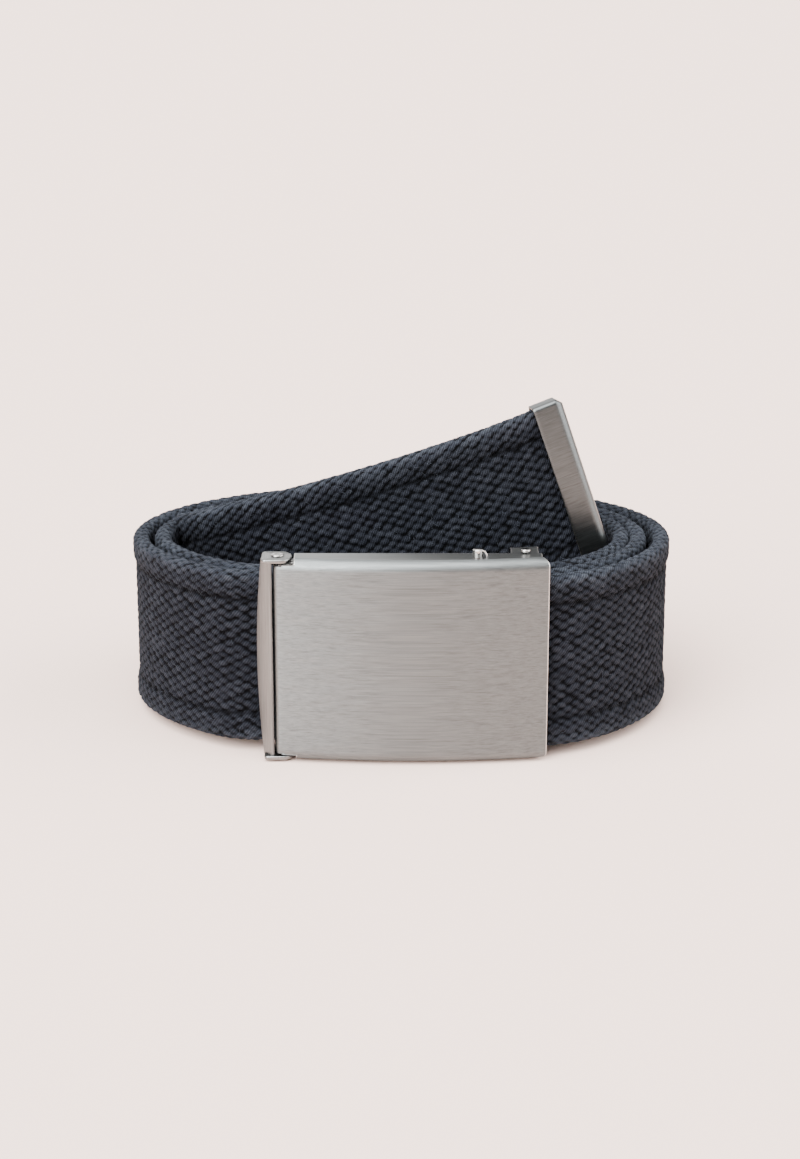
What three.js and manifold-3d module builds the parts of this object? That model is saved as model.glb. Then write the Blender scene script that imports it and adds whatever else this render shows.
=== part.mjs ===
// A webbing belt, rolled up and standing on its edge, with its buckle at the front.
// Millimetres. +X runs to the right along the buckle, +Y to the back of the roll, +Z up.
// The origin lies on the floor, under the middle of the outline.
import * as THREE from "three";
import { mergeVertices } from "three/addons/utils/BufferGeometryUtils.js";
import Module from "manifold-3d";

const wasm = await Module();
wasm.setup();

// Driving sizes
const webbingWidth = 40;
const webbingBody = 2.6; // thickness between the two rolled selvedges
const selvedge = 3.6; // thickness of the rolled selvedges
const buckleLength = 60.8;
const buckleHeight = 46.8;
const sheet = 0.9; // thickness of the buckle's steel sheet
const fit = 0.3; // clearance between pieces that touch on the real belt
const floorLift = 0.5; // the lower rivet head stands this far below the buckle

// The roll
const rollMiddleY = 4;
const frontLift = 2.6; // the taller buckle lifts the front of the roll by this much
const turnStep = 6; // degrees between two sections of the roll
const frontSoftness = 1.2; // how softly a wrap bends into the flat front

// The wraps of the roll, from the end held in the buckle inwards. turn is in degrees, from the right side
// round the back. halfLength and halfDepth are those of the oval there, front is how far forward the
// wrap may come, and bow is how much of the buckle's curve it follows.
const wraps = [
  { turn: -82, halfLength: 61.5, halfDepth: 50.0, front: -39.4, bow: 1 },
  { turn: -30, halfLength: 61.5, halfDepth: 50.0, front: -39.4, bow: 1 },
  { turn: 90, halfLength: 61.5, halfDepth: 46.2, front: -36.0, bow: 0 },
  { turn: 180, halfLength: 61.5, halfDepth: 46.5, front: -32.8, bow: 0 },
  { turn: 250, halfLength: 59.8, halfDepth: 46.5, front: -32.8, bow: 0 },
  { turn: 360, halfLength: 56.0, halfDepth: 43.0, front: -32.8, bow: 0 },
  { turn: 450, halfLength: 56.0, halfDepth: 41.8, front: -30.0, bow: 0 },
  { turn: 540, halfLength: 56.4, halfDepth: 41.5, front: -28.6, bow: 0 },
  { turn: 630, halfLength: 53.6, halfDepth: 40.5, front: -28.6, bow: 0 },
  { turn: 720, halfLength: 52.1, halfDepth: 38.8, front: -28.6, bow: 0 },
  { turn: 810, halfLength: 51.0, halfDepth: 37.4, front: -28.6, bow: 0 },
  { turn: 834, halfLength: 50.6, halfDepth: 37.2, front: -28.6, bow: 0 },
];

// The free end, from the tight turn at the left to the metal tip: the middle of the webbing,
// and how far its upper edge leans to the front, in degrees.
const freeEnd = [
  { x: -34.5, y: 32.8, z: 20.4, lean: 0 },
  { x: -44.2, y: 26.8, z: 20.8, lean: 0 },
  { x: -50.0, y: 19.6, z: 21.2, lean: 1 },
  { x: -50.2, y: 12.8, z: 22.4, lean: 2 },
  { x: -44.5, y: 8.4, z: 24.5, lean: 2 },
  { x: -36.0, y: 5.4, z: 27.5, lean: 1 },
  { x: -27.0, y: 2.8, z: 30.6, lean: 0 },
  { x: -18.0, y: 0.4, z: 33.6, lean: -1 },
  { x: -8.0, y: -1.8, z: 37.0, lean: -2 },
  { x: 3.0, y: -3.3, z: 40.8, lean: -3 },
  { x: 14.5, y: -3.5, z: 44.8, lean: -3 },
  { x: 26.0, y: -2.2, z: 48.7, lean: -3 },
  { x: 37.0, y: 0.2, z: 52.5, lean: -3 },
];
const freeEndSteps = 30;
const tipInsert = { length: 5.2, steps: 3 }; // the straight end inside the metal tip

// Half the thickness of the webbing at some distances from its middle, measured across its width.
const webbingProfile = [
  { across: 13.8, half: webbingBody / 2 },
  { across: 16.0, half: selvedge / 2 },
  { across: 18.8, half: selvedge / 2 - 0.15 },
  { across: webbingWidth / 2, half: 0.7 },
];

// The buckle
const buckleX = 2.2; // the middle of the buckle
const buckleFrontY = -43.0;
const buckleBow = 180; // radius of the front's gentle curve
const bendRadius = 2.4;
const flangeDepth = 8;
const tabDepth = 11; // the flange is deeper where it carries the end clamp
const tab = { from: 24.2, to: 30.4 };
const hinge = { x: -27.2, y: -37.2 };
const notch = { width: 4.6, height: 1 };
const lipDepth = 2.2;
const lipOverlap = 0.4;
const tongue = { left: 1.5, front: 1.4, back: 2, step: 2, sheet: 0.6 };
const rivet = { shank: 0.8, head: 1.5, headGap: 0.1 };
const ear = { width: 7, depth: 7, round: 2.4, corner: 1 };
const jaw = { endWidth: 3.4, middleWidth: 5.8, slant: 34, sections: 12 };
const clampPlate = { from: 12.5, to: 21.5, backY: -35, teeth: 9, toothX: 14.2, toothLength: 0.9, toothRadius: 1.4 };
const clampPins = [
  { name: "clamp_pivot_pin", x: 16.8, y: -37.6, radius: 1.15, proud: 1.7 },
  { name: "clamp_stop_pin", x: 27.4, y: -35.0, radius: 1.1, proud: 0.9 },
];
const pinDepth = 2.2; // how far the clamp's pins reach below the top of the flange

// The metal tip, in the webbing's own directions
const tipCap = { along: 7.5, beyondEnd: 1.8, across: 41.6, thick: 5, wall: 0.5, corner: 1, chamfer: 1.6 };

// Colours and finishes
const navyWebbing = new THREE.MeshStandardMaterial({ color: 0x2b313b, roughness: 0.95, metalness: 0 });
const brushedSteel = new THREE.MeshStandardMaterial({ color: 0xb4b0aa, roughness: 0.38, metalness: 1 });
const darkSteel = new THREE.MeshStandardMaterial({ color: 0x8d8a86, roughness: 0.45, metalness: 1 });

const buckleBottom = floorLift;
const buckleTop = floorLift + buckleHeight;
const buckleMiddleZ = (buckleBottom + buckleTop) / 2;

// How far back the buckle's curved front lies at x.
function bowAt(x) {
  return (x - buckleX) ** 2 / (2 * buckleBow);
}

function smoothLarger(a, b, softness) {
  return (a + b + Math.hypot(a - b, 2 * softness)) / 2;
}

// One value of a table at a place between its rows, eased so that the wraps stay smooth.
function valueAt(rows, key, place, column) {
  const next = rows.findIndex((row) => row[key] >= place);
  if (next < 0) return rows[rows.length - 1][column];
  if (next === 0) return rows[0][column];
  const a = rows[next - 1];
  const b = rows[next];
  const t = (place - a[key]) / (b[key] - a[key]);
  return a[column] + (b[column] - a[column]) * t * t * (3 - 2 * t);
}

// The lower edge of the roll climbs from the floor at the back to frontLift at the buckle.
function edgeHeight(y) {
  const backY = rollMiddleY + wraps[2].halfDepth;
  return (frontLift * (backY - y)) / (backY - wraps[0].front);
}

// The middle line of the webbing and its lean: the oval wraps, then a curve through the free end's rows.
function webbingRoute() {
  const places = [];
  const firstTurn = wraps[0].turn;
  const lastTurn = wraps[wraps.length - 1].turn;
  const count = Math.round((lastTurn - firstTurn) / turnStep);
  for (let i = 0; i <= count; i++) {
    const turn = firstTurn + ((lastTurn - firstTurn) * i) / count;
    const angle = THREE.MathUtils.degToRad(turn);
    const at = (column) => valueAt(wraps, "turn", turn, column);
    const x = at("halfLength") * Math.cos(angle);
    const limit = at("front") + at("bow") * bowAt(x);
    const oval = rollMiddleY + at("halfDepth") * Math.sin(angle);
    const y = smoothLarger(oval, limit, frontSoftness);
    places.push({ x, y, z: webbingWidth / 2 + edgeHeight(y), lean: 0 });
  }
  const knots = [...places.slice(-2), ...freeEnd];
  const curve = new THREE.CatmullRomCurve3(
    knots.map((p) => new THREE.Vector3(p.x, p.y, p.z)),
    false,
    "centripetal",
  );
  const firstShare = 1 / (knots.length - 1);
  for (let i = 1; i <= freeEndSteps; i++) {
    const share = firstShare + ((1 - firstShare) * i) / freeEndSteps;
    const { x, y, z } = curve.getPoint(share);
    const row = share * (knots.length - 1);
    const a = knots[Math.min(Math.floor(row), knots.length - 2)];
    const b = knots[Math.min(Math.floor(row) + 1, knots.length - 1)];
    places.push({ x, y, z, lean: THREE.MathUtils.lerp(a.lean, b.lean, row - Math.floor(row)) });
  }
  const end = places[places.length - 1];
  const straight = curve.getTangent(1);
  for (let i = 1; i <= tipInsert.steps; i++) {
    const reach = (tipInsert.length * i) / tipInsert.steps;
    const { x, y, z } = new THREE.Vector3(end.x, end.y, end.z).addScaledVector(straight, reach);
    places.push({ x, y, z, lean: end.lean });
  }
  return places;
}

// The three directions of the webbing at each place: along it, across its width and out of its face.
function webbingFrames(places) {
  const points = places.map((p) => new THREE.Vector3(p.x, p.y, p.z));
  return places.map((place, i) => {
    const before = points[Math.max(i - 1, 0)];
    const after = points[Math.min(i + 1, points.length - 1)];
    const along = after.clone().sub(before).normalize();
    const across = new THREE.Vector3(0, 0, 1).addScaledVector(along, -along.z).normalize();
    across.applyAxisAngle(along, THREE.MathUtils.degToRad(place.lean));
    const out = new THREE.Vector3().crossVectors(along, across);
    return { point: points[i], along, across, out };
  });
}

// The outline of the webbing's section, anticlockwise seen from the place that it runs to.
function webbingSection() {
  const front = webbingProfile.map((row) => ({ out: row.half, across: row.across }));
  const back = [...webbingProfile].reverse().map((row) => ({ out: -row.half, across: row.across }));
  const upper = [...front, ...back];
  const lower = upper.map((p) => ({ out: -p.out, across: -p.across }));
  return [...upper, ...lower].reverse();
}

// A ring's points in its own plane, so that its cap can be cut into triangles.
function flattened(ring) {
  const u = new THREE.Vector3().subVectors(ring[ring.length / 2], ring[0]).normalize();
  const normal = new THREE.Vector3();
  ring.forEach((p, j) => normal.add(new THREE.Vector3().crossVectors(p, ring[(j + 1) % ring.length])));
  const v = new THREE.Vector3().crossVectors(normal.normalize(), u);
  return ring.map((p) => new THREE.Vector2(p.dot(u), p.dot(v)));
}

// A closed body from rings of points that follow one another, with a flat cap at each end.
// Each ring runs anticlockwise seen from the next one.
function bodyFromRings(rings) {
  const size = rings[0].length;
  const positions = rings.flat().flatMap((p) => [p.x, p.y, p.z]);
  const triangles = [];
  for (let i = 0; i + 1 < rings.length; i++) {
    for (let j = 0; j < size; j++) {
      const a = i * size + j;
      const b = i * size + ((j + 1) % size);
      triangles.push(a, b, b + size, a, b + size, a + size);
    }
  }
  const last = (rings.length - 1) * size;
  for (const [a, b, c] of THREE.ShapeUtils.triangulateShape(flattened(rings[0]), [])) {
    triangles.push(c, b, a);
  }
  for (const [a, b, c] of THREE.ShapeUtils.triangulateShape(flattened(rings.at(-1)), [])) {
    triangles.push(last + a, last + b, last + c);
  }
  const geometry = new THREE.BufferGeometry();
  geometry.setAttribute("position", new THREE.Float32BufferAttribute(positions, 3));
  geometry.setIndex(triangles);
  return geometry;
}

function toSolid(geometry) {
  const loose = geometry.index ? geometry.toNonIndexed() : geometry;
  const bare = new THREE.BufferGeometry();
  bare.setAttribute("position", loose.getAttribute("position"));
  const merged = mergeVertices(bare, 1e-4);
  const vertProperties = merged.attributes.position.array;
  const triVerts = new Uint32Array(merged.index.array);
  return new wasm.Manifold(new wasm.Mesh({ numProp: 3, vertProperties, triVerts }));
}

function toGeometry(solid) {
  const { vertProperties, triVerts } = solid.getMesh();
  const geometry = new THREE.BufferGeometry();
  geometry.setAttribute("position", new THREE.BufferAttribute(new Float32Array(vertProperties), 3));
  geometry.setIndex(new THREE.BufferAttribute(new Uint32Array(triVerts), 1));
  return geometry;
}

// A block between two values of x, of y and of z, each pair in either order.
function block([x0, x1], [y0, y1], [z0, z1]) {
  const geometry = new THREE.BoxGeometry(Math.abs(x1 - x0), Math.abs(y1 - y0), Math.abs(z1 - z0));
  geometry.translate((x0 + x1) / 2, (y0 + y1) / 2, (z0 + z1) / 2);
  return toSolid(geometry);
}

// An upright round bar between two heights.
function bar(x, y, radius, z0, z1) {
  const geometry = new THREE.CylinderGeometry(radius, radius, Math.abs(z1 - z0), 14);
  geometry.rotateX(Math.PI / 2);
  geometry.translate(x, y, (z0 + z1) / 2);
  return toSolid(geometry);
}

// The long strip of webbing, rolled selvedges and all.
function webbingGeometry(frames) {
  const section = webbingSection();
  const ringAt = ({ point, across, out }) =>
    section.map((p) => point.clone().addScaledVector(out, p.out).addScaledVector(across, p.across));
  return bodyFromRings(frames.map(ringAt));
}

// Half the section of the cover: round its bend and along the flange. back is measured from the
// front's outer face and up from the middle of the buckle.
function channelSide(inset) {
  const half = buckleHeight / 2 - inset;
  const radius = bendRadius - inset;
  const steps = 4;
  const bend = [];
  for (let i = steps; i >= 0; i--) {
    const angle = (Math.PI / 2) * (i / steps);
    bend.push({ back: inset + radius * (1 - Math.sin(angle)), up: half - radius * (1 - Math.cos(angle)) });
  }
  return [...bend, { back: tabDepth, up: half }];
}

// The cover: a gently curved front with a flange along its top and bottom, a lip down its left side,
// notched corners for the jaw's ears, and a tongue under each ear for the rivet.
function coverGeometry() {
  const side = [...channelSide(0), ...channelSide(sheet).reverse()];
  const mirrored = [...side].reverse().map((p) => ({ back: p.back, up: -p.up }));
  const section = [...side, ...mirrored].reverse();
  const left = buckleX - buckleLength / 2;
  const right = buckleX + buckleLength / 2;
  const columns = 14;
  const rings = [];
  for (let i = 0; i <= columns; i++) {
    const x = left + (buckleLength * i) / columns;
    const y = buckleFrontY + bowAt(x);
    rings.push(section.map((p) => new THREE.Vector3(x, y + p.back, buckleMiddleZ + p.up)));
  }
  let cover = toSolid(bodyFromRings(rings));

  const half = buckleHeight / 2;
  const rear = [buckleFrontY + flangeDepth, buckleFrontY + tabDepth + buckleHeight];
  const tall = [buckleBottom - 1, buckleTop + 1];
  cover = cover.subtract(block([left - 1, tab.from], rear, tall));
  cover = cover.subtract(block([tab.to, right + 1], rear, tall));
  const notchX = left + notch.width;
  const allDepth = [buckleFrontY - 1, buckleFrontY + tabDepth + buckleHeight];
  const lipY = buckleFrontY + bowAt(left);
  const lipHalf = half - notch.height - lipOverlap;
  const lipHeights = [buckleMiddleZ - lipHalf, buckleMiddleZ + lipHalf];
  cover = cover.add(block([left, left + sheet], [lipY + lipOverlap, lipY + lipDepth], lipHeights));

  for (const end of [1, -1]) {
    const level = (height) => buckleMiddleZ + end * height;
    cover = cover.subtract(block([left - 1, notchX], allDepth, [level(half - notch.height), level(half + 1)]));
    const tongueTop = half - sheet - fit;
    const tongueY = [hinge.y - tongue.front, hinge.y + tongue.back];
    const stepEnd = notchX + tongue.step;
    const leaf = block([hinge.x - tongue.left, stepEnd], tongueY, [level(tongueTop - tongue.sheet), level(tongueTop)]);
    const riser = block([notchX, stepEnd], tongueY, [level(tongueTop - tongue.sheet), level(half)]);
    const hole = bar(hinge.x, hinge.y, rivet.shank + fit, level(tongueTop - 2 * sheet), level(half));
    cover = cover.add(leaf.subtract(hole)).add(riser);
  }
  for (const pin of clampPins) {
    cover = cover.subtract(bar(pin.x, pin.y, pin.radius + fit, buckleTop - pinDepth, buckleTop + 1));
  }
  return toGeometry(cover);
}

// One of the jaw's two ears, round at its right end.
function earOutline() {
  const left = hinge.x - ear.width / 2;
  const right = hinge.x + ear.width / 2 - fit;
  const front = hinge.y - ear.depth / 2;
  const back = hinge.y + ear.depth / 2;
  const outline = new THREE.Shape();
  outline.moveTo(left + ear.corner, front);
  outline.lineTo(right - ear.round, front);
  outline.quadraticCurveTo(right, front, right, hinge.y);
  outline.quadraticCurveTo(right, back, right - ear.round, back);
  outline.lineTo(left + ear.corner, back);
  outline.lineTo(left, back - ear.corner);
  outline.lineTo(left, front + ear.corner);
  outline.closePath();
  return outline;
}

// The jaw hinged at the left of the cover: a slanted strip, wider at its middle, with an ear at each end.
function jawGeometry() {
  const half = buckleHeight / 2;
  const slant = THREE.MathUtils.degToRad(jaw.slant);
  const backwards = new THREE.Vector3(-Math.sin(slant), Math.cos(slant), 0);
  const outwards = new THREE.Vector3(-Math.cos(slant), -Math.sin(slant), 0);
  const left = buckleX - buckleLength / 2;
  const rings = [];
  for (let i = 0; i <= jaw.sections; i++) {
    const up = (half - sheet / 2) * ((2 * i) / jaw.sections - 1);
    const width = jaw.middleWidth - (jaw.middleWidth - jaw.endWidth) * (up / half) ** 2;
    const front = new THREE.Vector3(left - fit, buckleFrontY + bowAt(left) + sheet, buckleMiddleZ + up);
    const rear = front.clone().addScaledVector(backwards, width);
    const outer = [front, rear].map((p) => p.clone().addScaledVector(outwards, sheet));
    rings.push([front, rear, outer[1], outer[0]]);
  }
  let solid = toSolid(bodyFromRings(rings));
  for (const end of [1, -1]) {
    const leaf = new THREE.ExtrudeGeometry(earOutline(), { depth: sheet, bevelEnabled: false, curveSegments: 4 });
    leaf.translate(0, 0, end > 0 ? buckleTop - sheet : buckleBottom);
    const edge = buckleMiddleZ + end * half;
    const hole = bar(hinge.x, hinge.y, rivet.shank + fit, edge - 2 * sheet, edge + 2 * sheet);
    solid = solid.add(toSolid(leaf)).subtract(hole);
  }
  return toGeometry(solid);
}

// A rivet through an ear and the tongue under it: a flat head outside, and flush with the tongue inside.
function rivetGeometry(end) {
  const half = buckleHeight / 2;
  const level = (height) => buckleMiddleZ + end * height;
  const inside = half - sheet - fit - tongue.sheet;
  const shank = bar(hinge.x, hinge.y, rivet.shank, level(inside), level(half + floorLift));
  const head = bar(hinge.x, hinge.y, rivet.head, level(half + rivet.headGap), level(half + floorLift));
  return toGeometry(shank.add(head));
}

// The toothed plate that presses the webbing's end against the inside of the cover.
function clampGeometry() {
  const reach = buckleHeight / 2 - sheet - fit;
  const frontY = clampPlate.backY - sheet;
  const heights = [buckleMiddleZ - reach, buckleMiddleZ + reach];
  let plate = block([clampPlate.from, clampPlate.to], [frontY, clampPlate.backY], heights);
  const pitch = (2 * reach) / clampPlate.teeth;
  for (let i = 0; i < clampPlate.teeth; i++) {
    const tooth = new THREE.ConeGeometry(clampPlate.toothRadius, clampPlate.toothLength + sheet / 2, 4);
    tooth.rotateX(Math.PI);
    const z = buckleMiddleZ + pitch * (i - (clampPlate.teeth - 1) / 2);
    tooth.translate(clampPlate.toothX, frontY - clampPlate.toothLength / 2 + sheet / 4, z);
    plate = plate.add(toSolid(tooth));
  }
  return toGeometry(plate);
}

// The metal tip, with its pocket for the webbing: x along the webbing, y out of its face, z across it.
function tipGeometry() {
  const w = tipCap.thick / 2;
  const h = tipCap.across / 2;
  const c = tipCap.corner;
  const corners = [
    [w, c - h],
    [w, h - c],
    [w - c, h],
    [c - w, h],
    [-w, h - c],
    [-w, c - h],
    [c - w, -h],
    [w - c, -h],
  ];
  const taper = [
    { x: tipCap.beyondEnd - tipCap.along, cut: 0 },
    { x: tipCap.beyondEnd - tipCap.chamfer, cut: 0 },
    { x: tipCap.beyondEnd, cut: tipCap.chamfer },
  ];
  const ringAt = ({ x, cut }) =>
    corners.map(([y, z]) => new THREE.Vector3(x, y * (1 - cut / tipCap.thick), Math.sign(z) * (Math.abs(z) - cut)));
  const shell = toSolid(bodyFromRings(taper.map(ringAt)));
  const pocketX = [tipCap.beyondEnd - tipCap.along - 1, fit];
  const pocketY = [-(w - tipCap.wall), w - tipCap.wall];
  const pocketZ = [-(h - tipCap.wall), h - tipCap.wall];
  return toGeometry(shell.subtract(block(pocketX, pocketY, pocketZ)));
}

const frames = webbingFrames(webbingRoute());
const belt = new THREE.Group();

function addPiece(name, geometry, material) {
  const mesh = new THREE.Mesh(geometry, material);
  mesh.name = name;
  belt.add(mesh);
  return mesh;
}

addPiece("webbing_strap", webbingGeometry(frames), navyWebbing);
addPiece("buckle_cover", coverGeometry(), brushedSteel);
addPiece("hinge_jaw", jawGeometry(), brushedSteel);
addPiece("rivet_top", rivetGeometry(1), darkSteel);
addPiece("rivet_bottom", rivetGeometry(-1), darkSteel);
addPiece("end_clamp", clampGeometry(), darkSteel);
for (const pin of clampPins) {
  const solid = bar(pin.x, pin.y, pin.radius, buckleTop - pinDepth, buckleTop + pin.proud);
  addPiece(pin.name, toGeometry(solid), darkSteel);
}
const end = frames[frames.length - 1];
const tip = addPiece("strap_tip", tipGeometry(), brushedSteel);
const tipTurn = new THREE.Matrix4().makeBasis(end.along, end.out.clone().negate(), end.across);
tip.quaternion.setFromRotationMatrix(tipTurn);
tip.position.copy(end.point);

const outline = new THREE.Box3().setFromObject(belt, true);
const middle = outline.getCenter(new THREE.Vector3());
belt.position.set(-middle.x, -middle.y, -outline.min.z);

export default belt;
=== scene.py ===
import bpy
import numpy as np
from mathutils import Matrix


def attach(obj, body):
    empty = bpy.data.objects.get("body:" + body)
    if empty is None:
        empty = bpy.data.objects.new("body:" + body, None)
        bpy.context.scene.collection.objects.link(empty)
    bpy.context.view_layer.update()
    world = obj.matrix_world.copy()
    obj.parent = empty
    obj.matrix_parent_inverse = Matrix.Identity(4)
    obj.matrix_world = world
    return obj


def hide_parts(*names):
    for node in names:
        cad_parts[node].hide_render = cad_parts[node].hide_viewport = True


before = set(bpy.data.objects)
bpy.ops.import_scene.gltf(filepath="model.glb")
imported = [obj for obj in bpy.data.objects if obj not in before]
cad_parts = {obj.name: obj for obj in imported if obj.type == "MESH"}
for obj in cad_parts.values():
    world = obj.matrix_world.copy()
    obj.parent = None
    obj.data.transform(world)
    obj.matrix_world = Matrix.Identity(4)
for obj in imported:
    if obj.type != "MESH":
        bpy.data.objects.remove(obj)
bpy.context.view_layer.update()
mm = 0.001
uvUnit = 100.0  # mm of webbing or sheet in one unit of uv
shift = np.array([0.005, -4.499, 0.0])  # from the roll's own middle to the part's origin, in mm


# A mesh object from points in mm, faces, and optional uv, point attributes and normals.
def addMesh(name, points, faces, uv=None, attributes=None, normals=None):
    mesh = bpy.data.meshes.new(name)
    groups = faces if isinstance(faces, list) else [faces]
    corners = [face for group in groups for face in group.tolist()]
    mesh.from_pydata(((points + shift) * mm).tolist(), [], corners)
    if uv is not None:
        layer = mesh.uv_layers.new(name="web")
        layer.data.foreach_set("uv", np.asarray(uv, np.float32).ravel())
    for key, values in (attributes or {}).items():
        values = np.asarray(values, np.float32)
        isVector = values.ndim == 2
        layer = mesh.attributes.new(key, "FLOAT_VECTOR" if isVector else "FLOAT", "POINT")
        layer.data.foreach_set("vector" if isVector else "value", values.ravel())
    mesh.polygons.foreach_set("use_smooth", np.ones(len(mesh.polygons), bool))
    mesh.update()
    if normals is not None:
        mesh.normals_split_custom_set_from_vertices(normals.tolist())
    obj = bpy.data.objects.new(name, mesh)
    bpy.context.scene.collection.objects.link(obj)
    return obj


# Quads of a grid of rows x columns points, turned over if flip, last column joined to the first if closed.
def gridFaces(rows, columns, closed=False, flip=False):
    i = np.arange(rows - 1)[:, None]
    j = np.arange(columns if closed else columns - 1)[None, :]
    k = (j + 1) % columns
    here = i * columns
    after = here + columns
    quads = np.stack(np.broadcast_arrays(here + j, after + j, after + k, here + k), -1).reshape(-1, 4)
    return quads[:, ::-1] if flip else quads


# A closed body through rings of points (rings x points x 3), with a fan over each end, facing outwards.
def tube(rings):
    rings = np.asarray(rings, float)
    n, m = rings.shape[:2]
    points = np.vstack([rings.reshape(-1, 3), rings[0].mean(0), rings[-1].mean(0)])
    j = np.arange(m)
    k = (j + 1) % m
    quads = gridFaces(n, m, closed=True)
    fans = np.vstack([
        np.stack([j, k, np.full(m, n * m)], -1),
        np.stack([(n - 1) * m + k, (n - 1) * m + j, np.full(m, n * m + 1)], -1),
    ])
    triangles = np.vstack([quads[:, [0, 1, 2]], quads[:, [0, 2, 3]], fans])
    a, b, c = (points[triangles[:, i]] - points.mean(0) for i in range(3))
    if (a * np.cross(b, c)).sum() < 0:
        quads, fans = quads[:, ::-1], fans[:, ::-1]
    return points, [quads, fans]


# Rings of a plate with this outline (points x 2), set in and raised by the (inset, z) pairs of its profile.
def plateRings(outline, profile):
    outline = np.asarray(outline, float)
    side = np.roll(outline, -1, 0) - np.roll(outline, 1, 0)
    inward = np.stack([-side[:, 1], side[:, 0]], -1)
    inward /= np.linalg.norm(inward, axis=1)[:, None]
    if (inward * (outline.mean(0) - outline)).sum() < 0:
        inward = -inward
    return [np.column_stack([outline + inward * inset, np.full(len(outline), z)]) for inset, z in profile]


def circle(x, y, radius, points=40):
    angle = np.arange(points) / points * 2 * np.pi
    return np.stack([x + radius * np.cos(angle), y + radius * np.sin(angle)], -1)


# A rectangle with rounded corners around (0, 0), counter-clockwise.
def roundedRectangle(halfA, halfB, radius, steps=6):
    angle = np.linspace(0, np.pi / 2, steps)
    corner = np.stack([np.cos(angle), np.sin(angle)], -1) * radius
    middle = np.array([halfA - radius, halfB - radius])
    turned = []
    for cos, sin, a, b in ((1, 0, 1, 1), (0, 1, -1, 1), (-1, 0, -1, -1), (0, -1, 1, -1)):
        alongA = corner[:, 0] * cos - corner[:, 1] * sin
        alongB = corner[:, 0] * sin + corner[:, 1] * cos
        turned.append(np.stack([alongA, alongB], -1) + middle * [a, b])
    return np.vstack(turned)


def smoothStep(a, b, x):
    t = np.clip((x - a) / (b - a), 0, 1)
    return t * t * (3 - 2 * t)


# A fixed scatter from 0 to 1 for whole numbers i and j.
def scatter(i, j, seed):
    n = np.sin(i * 127.1 + j * 311.7 + seed * 74.7) * 43758.5453
    return n - np.floor(n)


# Gives a piece its material and its body, and hides the CAD node that it stands for.
def finishPiece(obj, material, node):
    obj.data.materials.append(material)
    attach(obj, "root")
    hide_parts(node)


print("camera")
cameraSizes = dict(distance=560.0, elevation=17.2, focal=2365.0, width=800.0, target=(-0.27, 0.0, 30.3))


def addCamera(c):
    e = np.radians(c["elevation"])
    target = np.array(c["target"]) + shift
    place = target + c["distance"] * np.array([0, -np.cos(e), np.sin(e)])
    data = bpy.data.cameras.new("camera")
    data.sensor_fit = "HORIZONTAL"
    data.sensor_width = 36
    data.lens = c["focal"] / c["width"] * data.sensor_width
    data.clip_start = 0.02
    data.clip_end = 100
    obj = bpy.data.objects.new("camera", data)
    obj.location = place * mm
    obj.rotation_euler = (np.pi / 2 - e, 0, 0)
    bpy.context.scene.collection.objects.link(obj)
    bpy.context.scene.camera = obj


addCamera(cameraSizes)


print("materials")


# A new empty material, with one function that adds a node to it and one that links two nodes.
def startMaterial(name):
    material = bpy.data.materials.new(name)
    material.use_nodes = True
    nodes = material.node_tree.nodes
    nodes.clear()

    def add(kind, **values):
        node = nodes.new(kind)
        for key, value in values.items():
            if hasattr(node, key):
                setattr(node, key, value)
            else:
                node.inputs[key.replace("_", " ")].default_value = value
        return node

    def link(a, outName, b, inName):
        material.node_tree.links.new(a.outputs[outName], b.inputs[inName])

    return material, add, link


def rampOf(add, stops):
    node = add("ShaderNodeValToRGB")
    while len(node.color_ramp.elements) < len(stops):
        node.color_ramp.elements.new(0.5)
    for element, (place, colour) in zip(node.color_ramp.elements, stops):
        element.position = place
        element.color = (*colour, 1)
    return node


# The colour of one node multiplied by a ramp over the factor of another one.
def multiplied(add, link, colour, source, stops, share=1.0):
    mix = add("ShaderNodeMixRGB", blend_type="MULTIPLY", Fac=share)
    ramp = rampOf(add, stops)
    link(source, "Fac", ramp, "Fac")
    link(colour, "Color", mix, "Color1")
    link(ramp, "Color", mix, "Color2")
    return mix


webbingLook = dict(
    # pit to crown: painted shade over the weave's relief, darkest in the pits and lightest on the crowns
    pitShade=(0.0004, 0.0005, 0.0008),
    valleyShade=(0.0016, 0.0019, 0.0029),
    yarn=(0.0056, 0.0066, 0.0094),
    crown=(0.0142, 0.0162, 0.0218),
    # a painted highlight, lighter than the crowns, laid on the crowns along the edges
    edgeLit=(0.0320, 0.0375, 0.0485),
    edgeLightAmount=0.9,
    edgeLightPatch=95.0,  # scale of the patches of painted highlight
    roughness=0.95,
    specular=0.06,
    sheen=0.030,
    sheenRoughness=0.4,
    sheenTint=(0.62, 0.68, 0.80, 1),
    toneStops=[(0.0, (0.72, 0.73, 0.76)), (1.0, (1.22, 1.21, 1.18))],
    plySize=0.50,  # mm between two plies of a yarn
    plyTurn=36,
    plyStops=[(0.0, (0.50, 0.50, 0.52)), (1.0, (1.36, 1.36, 1.34))],
    plyShare=0.75,
    plyHeight=0.8,
    grain=5200.0,
    grainStops=[(0.25, (0.62, 0.62, 0.64)), (0.75, (1.38, 1.38, 1.36))],
    grainShare=0.8,
    bumpStrength=0.8,
    bumpDistance=0.00020,
)
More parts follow.
